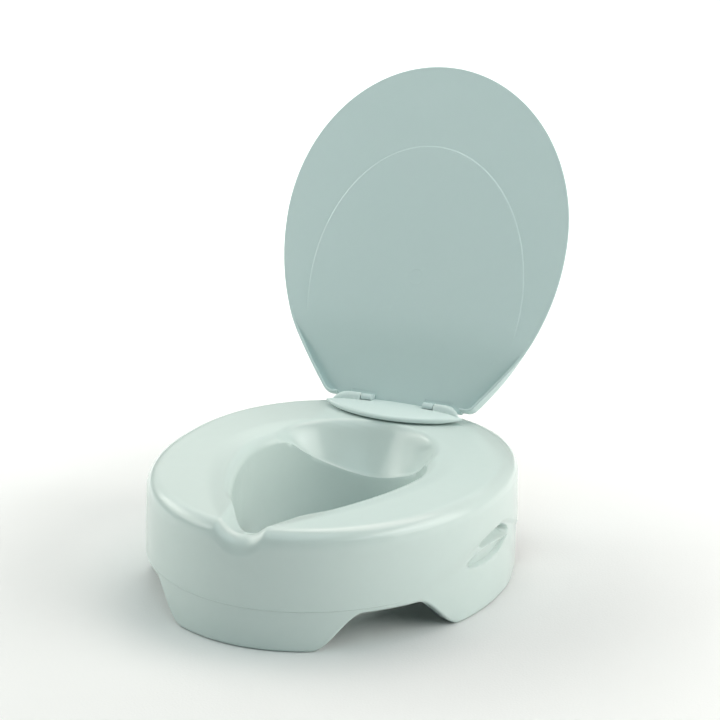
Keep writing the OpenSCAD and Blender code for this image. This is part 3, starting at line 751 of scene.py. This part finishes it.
def make_lid():
    outline = lid_outline(420)
    centre = np.array([0.0, GATE_U])
    ray = outline - centre
    reach = np.hypot(ray[:, 0], ray[:, 1])
    ray = ray / reach[:, None]
    tangent = np.roll(outline, -1, 0) - np.roll(outline, 1, 0)
    normal = np.stack([tangent[:, 1], -tangent[:, 0]], -1)
    normal /= np.hypot(normal[:, 0], normal[:, 1])[:, None]
    face_on = np.abs((normal * ray).sum(1))            # turns an inset across the edge into one along the ray
    egg = np.minimum(egg_reach(ray), reach - 16)

    hinge_mid = smooth((HINGE_WALL_IN + 1 - np.abs(outline[:, 0])) / 2) * smooth((6 - outline[:, 1]) / 3)
    rings = []

    def ring(distance, w):
        xy = centre + ray * np.asarray(distance).reshape(-1, 1)
        rings.append((xy[:, 0], xy[:, 1], w * np.ones(len(ray))))

    def inside(distance, drop=0.0):
        """A ring on the underside of the panel."""
        d = distance * np.ones(len(ray))
        u = GATE_U + ray[:, 1] * d
        step = EGG_STEP * smooth((egg - d) / 1.3 + 0.5) * ramp(u, EGG_FADE)
        ring(d, panel_lift(u) - step + drop)

    sunk, mark_end, egg_band = 0.10, GATE_R + 3.2, 2.5
    for d in (1.5, 3, 4.5, 6, GATE_R):                 # gate mark: a shallow disc with a fine rim
        inside(d, sunk)
    for d, drop in ((0.8, 0.08), (1.4, -0.10), (1.9, -0.14), (2.4, -0.05), (3.2, 0.0)):
        inside(GATE_R + d, drop)
    for t in np.linspace(0, 1, 34)[1:-1]:
        inside(mark_end + (egg - egg_band - mark_end) * t)
    for d in (-egg_band, -1.2, -0.7, -0.35, 0, 0.35, 0.7, 1.2, egg_band):
        inside(egg + d)
    rim = LID_RIM_T / face_on
    foot = 2.4 / face_on
    for t in np.linspace(0, 1, 16)[1:]:
        inside(egg + egg_band + (reach - rim - foot - egg - egg_band) * t)

    def lift_at(inset):
        return panel_lift(GATE_U + ray[:, 1] * (reach - inset / face_on))

    edge_lift = lift_at(0.0)
    at_side = edge_lift * (1 - hinge_mid)
    flare = SIDE_FLARE * at_side                       # how far the rim lies inside the back of its wall
    rim_w = edge_lift * hinge_mid                      # the rim's plane, or the bare panel at the hinge
    wall = np.clip(lift_at(LID_RIM_T) - rim_w, 0, None)
    fillet = np.minimum(2.0, wall * 0.5)
    for q in np.radians((20, 40, 60, 80)):             # fillet between panel and rim
        ring(reach - rim - foot * (1 - math.sin(q)) * np.clip(wall / 2, 0, 1) * 0.83,
             lift_at(LID_RIM_T) - fillet * (1 - math.cos(q)))
    lip = np.minimum(0.8, 0.35 + wall)
    for i, w in ((-0.1, 1.0), (0.1, 0.45), (0.35, 0.12), (0.8, 0.0)):     # over the rim, from inside
        ring(reach - (LID_RIM_T - i + flare) / face_on, rim_w + np.minimum(lip * w, wall))
    for i, w in ((0.8, 0.0), (0.35, 0.10), (0.1, 0.4), (0.0, 0.9)):
        ring(reach - (i + flare) / face_on, rim_w + w)
    back = edge_lift + LID_T
    side_h = back - rim_w
    for t, i in ((0.2, 0.05), (0.45, 0.2), (0.65, 0.5), (0.8, 1.1),       # round to the outer face
                 (0.91, 2.1), (0.97, 3.4), (1.0, BACK_EDGE)):
        ring(reach - (i + flare * (1 - t)) / face_on, np.maximum(rim_w + side_h * t, rim_w + 0.9 + 0.1 * t))
    for t in np.linspace(0, 1, 20)[1:-1]:              # outer face, slightly crowned
        d = (reach - BACK_EDGE / face_on) * (1 - t)
        u = GATE_U + ray[:, 1] * d
        ring(d, panel_lift(u) + LID_T + LID_CROWN * smooth(t * 1.2) * ramp(u, (60, 120)))
    loops = np.stack([lid_to_seat(x, u, w) for x, u, w in rings])
    rows, cols = loops.shape[:2]
    points = loops.reshape(-1, 3)
    first = lid_to_seat(np.zeros(1), np.full(1, GATE_U), np.array([sunk - EGG_STEP]))
    last = lid_to_seat(np.zeros(1), np.full(1, GATE_U), np.array([LID_T + LID_CROWN]))
    points = np.concatenate([points, first, last])
    faces = grid_faces(rows, cols, False, True)
    faces += [[rows * cols, (k + 1) % cols, k] for k in range(cols)]
    base = (rows - 1) * cols
    faces += [[rows * cols + 1, base + k, base + (k + 1) % cols] for k in range(cols)]
    lid = mesh_piece("lid_shell", points, faces)
    for side in (-1, 1):
        boolean(lid, make_pocket_frame(side), "UNION")
        boolean(lid, make_lug(side), "UNION")
        bore = [(0, -20), (PIN_R + 0.08, -20), (PIN_R + 0.08, 20), (0, 20)]
        tool = turned("bore", bore, (side * (LUG_IN + 1 + 20), HINGE_Y, HINGE_Z), ACROSS_AXES, 32)
        boolean(lid, tool, "DIFFERENCE")
    shade_by_angle(lid, 42)
    dress(lid, LID_PLASTIC)
    return lid


def make_pocket_frame(side):
    """The fine raised line round a hinge pocket, as three sides of a frame on the lid's underside."""
    lift = float(panel_lift(np.array(6.0)))
    x0, x1, u0, u1, w = POCKET_IN, POCKET_OUT, 1.0, POCKET_U, POCKET_LINE
    outline = [(x0, u0), (x0, u1), (x1, u1), (x1, u0),
               (x1 - w, u0), (x1 - w, u1 - w), (x0 + w, u1 - w), (x0 + w, u0)]
    xs, us = np.array(outline).T
    loops = [lid_to_seat(side * xs, us, np.full(len(outline), level)) for level in (lift - 0.55, lift + 0.8)]
    cols = len(outline)
    faces = grid_faces(2, cols, False, True, side > 0)
    caps = [list(range(cols)), [cols + k for k in range(cols - 1, -1, -1)]]
    faces += [c[::-1] for c in caps] if side > 0 else caps
    return mesh_piece("frame", np.concatenate(loops), faces, False)


def make_lug(side):
    """A lug that hangs from the panel to the hinge axis, with a rounded end."""
    depth = RIM_LEVEL + float(panel_lift(np.array(LID_BACK))) + 1.4
    outline = [(EAR_R * math.cos(q), EAR_R * math.sin(q)) for q in np.radians(np.linspace(144, 396, 22))]
    outline += [(LUG_HALF + 0.2, 6), (LUG_HALF + 0.8, depth - 1.5), (LUG_HALF + 2.4, depth),
                (-LUG_HALF - 2.4, depth), (-LUG_HALF - 0.8, depth - 1.5), (-LUG_HALF - 0.2, 6)]
    outline = np.array(outline)
    middle = outline.mean(0)
    loops = []
    for x, shrink in ((LUG_IN, 0.35), (LUG_IN + 0.12, 0.12), (LUG_IN + 0.4, 0), (LUG_OUT - 0.4, 0),
                      (LUG_OUT - 0.12, 0.12), (LUG_OUT, 0.35)):
        away = outline - middle
        size = np.hypot(away[:, 0], away[:, 1])[:, None]
        yz = middle + away * (1 - shrink / size)
        u = LID_BACK - yz[:, 0]
        loops.append(lid_to_seat(np.full(len(yz), side * x), u, yz[:, 1] - RIM_LEVEL))
    rows, cols = len(loops), len(outline)
    flip = side > 0
    faces = grid_faces(rows, cols, False, True, flip)
    caps = [list(range(cols)), [(rows - 1) * cols + k for k in range(cols - 1, -1, -1)]]
    faces += [c[::-1] for c in caps] if flip else caps
    return mesh_piece("lug", np.concatenate(loops), faces)


# --- Small parts -------------------------------------------------------------------------------
def make_plug():
    """The plug in the underside, with a rounded flange and a stem that fills the hole."""
    profile = [(0, -1.5), (PLUG_R + 1.6, -1.5), (PLUG_R + 2.2, -1.2), (PLUG_R + 2.5, -0.7),
               (PLUG_R + 2.5, 0.0), (PLUG_R, 0.0), (PLUG_R, 3.4), (PLUG_R - 0.6, 4.2), (0, 4.2)]
    plug = turned("hole_plug", profile, (0, PLUG_Y, LAND_Z), UP_AXES, 48)
    shade_by_angle(plug, 45)
    dress(plug, SEAT_PLASTIC)
    return plug


# --- Build the pieces --------------------------------------------------------------------------
body = make_body()
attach(body, "base")
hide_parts("seat_body")

plug = make_plug()
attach(plug, "base")
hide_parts("blow_hole_plug")

bracket, bracket_foot = make_bracket(), make_bracket_foot()
for piece in (bracket, bracket_foot):
    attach(piece, "base")
    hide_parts("hinge_bracket")

lid = make_lid()
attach(lid, "cover")
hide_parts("lid")

for node, material in (("pad_front_left", PAD_RUBBER), ("pad_front_right", PAD_RUBBER),
                       ("pad_rear_left", PAD_RUBBER), ("pad_rear_right", PAD_RUBBER),
                       ("bracket_screws", SCREW_STEEL), ("bracket_washers", SCREW_STEEL),
                       ("hinge_pin_left", PIN_PLASTIC), ("hinge_pin_right", PIN_PLASTIC)):
    dress(frame["nodes"][node], material)


# --- Floor, light and camera -------------------------------------------------------------------
def make_floor():
    """Pale paper that is darker round the seat and lighter further out."""
    n = Nodes("floor_paper")
    near = n.mix(n.remap(n.noise(3, 3), 0.3, 0.7, 0, 1), (0.74, 0.75, 0.75), (0.73, 0.74, 0.74))
    reach = n.add("ShaderNodeVectorMath", operation="LENGTH")
    n.link(n.coord, reach.inputs[0])
    colour = n.mix(n.remap(reach.outputs["Value"], 0.25, 0.8, 0, 1), near, (0.95, 0.95, 0.95))
    n.link(colour, n.shader.inputs["Base Color"])
    n.link(n.remap(n.noise(40, 3), 0.3, 0.7, 0.75, 0.9), n.shader.inputs["Roughness"])
    n.link(n.bump(n.noise(400, 2), 0.0002), n.shader.inputs["Normal"])
    half = 30000.0
    points = np.array([(-half, -half, 0), (half, -half, 0), (half, half, 0), (-half, half, 0)], float)
    floor = mesh_piece("studio_floor", points, [[0, 1, 2, 3]], False)
    dress(floor, n.material)


def area_light(name, place, aim, size, watts, colour):
    data = bpy.data.lights.new(name, "AREA")
    data.shape, data.size, data.size_y = "RECTANGLE", size[0], size[1]
    data.energy, data.color = watts, colour
    light = bpy.data.objects.new(name, data)
    light.location = place
    light.rotation_euler = (Vector(aim) - Vector(place)).to_track_quat("-Z", "Y").to_euler()
    bpy.context.scene.collection.objects.link(light)


def soft_sun(name, azimuth, height, spread, strength, colour):
    """A broad distant lamp: azimuth from the seat's front towards its right, all angles in degrees."""
    data = bpy.data.lights.new(name, "SUN")
    data.energy, data.angle, data.color = strength, math.radians(spread), colour
    light = bpy.data.objects.new(name, data)
    az, el = math.radians(azimuth), math.radians(height)
    towards = Vector((math.sin(az) * math.cos(el), -math.cos(az) * math.cos(el), math.sin(el)))
    light.rotation_euler = towards.to_track_quat("Z", "Y").to_euler()
    bpy.context.scene.collection.objects.link(light)


def make_lights():
    world = bpy.data.worlds.new("studio")
    world.use_nodes = True
    background = world.node_tree.nodes["Background"]
    background.inputs["Color"].default_value = (0.90, 1.0, 0.965, 1)
    background.inputs["Strength"].default_value = 0.07
    bpy.context.scene.world = world
    aim = (0, 0, 0.12)
    soft_sun("back_left", -130, 40, 60, 0.54, (0.98, 1.0, 0.93))
    soft_sun("front_top", 5, 64, 50, 0.67, (0.76, 0.97, 1.0))
    area_light("key_left", (-2.0, -0.3, 1.25), aim, (2.4, 1.2), 17, (1.0, 0.99, 0.92))
    area_light("strip_left", (-2.0, -0.3, 1.25), aim, (2.6, 0.12), 12, (1.0, 1.0, 0.95))
    area_light("key_right", (2.3, 0.38, 1.2), aim, (2.2, 2.0), 40, (1.0, 0.985, 0.92))
    area_light("strip_right", (2.2, -0.3, 1.4), aim, (2.2, 0.16), 8, (0.95, 0.98, 1.0))
    area_light("top", (0.2, 0.7, 1.8), aim, (1.6, 1.0), 15, (1.0, 0.88, 0.84))
    area_light("backdrop", (-1.0, 2.4, 2.2), (-1.6, 3.8, 0), (4.0, 3.0), 105, (1.0, 1.0, 1.0))


def make_camera():
    azimuth, pitch, roll = (math.radians(v) for v in (CAMERA_AZIMUTH, CAMERA_PITCH, CAMERA_ROLL))
    forward = Vector((-math.sin(azimuth) * math.cos(pitch), math.cos(azimuth) * math.cos(pitch),
                      -math.sin(pitch)))
    level = Vector((math.cos(azimuth), math.sin(azimuth), 0))
    above = level.cross(forward)
    right = math.cos(roll) * level + math.sin(roll) * above
    up = -math.sin(roll) * level + math.cos(roll) * above
    aim = Vector(seat_to_row(CAMERA_AIM)) + CAMERA_NUDGE * right + CAMERA_NUDGE * up
    data = bpy.data.cameras.new("camera")
    data.sensor_width, data.lens = SENSOR_W, CAMERA_LENS
    data.clip_end = 100.0
    camera = bpy.data.objects.new("camera", data)
    basis = Matrix((right, up, -forward)).transposed()
    camera.matrix_world = Matrix.Translation((aim - CAMERA_DISTANCE * forward) * MM) @ basis.to_4x4()
    bpy.context.scene.collection.objects.link(camera)
    bpy.context.scene.camera = camera


make_floor()
make_lights()
make_camera()
bpy.context.scene.view_settings.view_transform = "Standard"
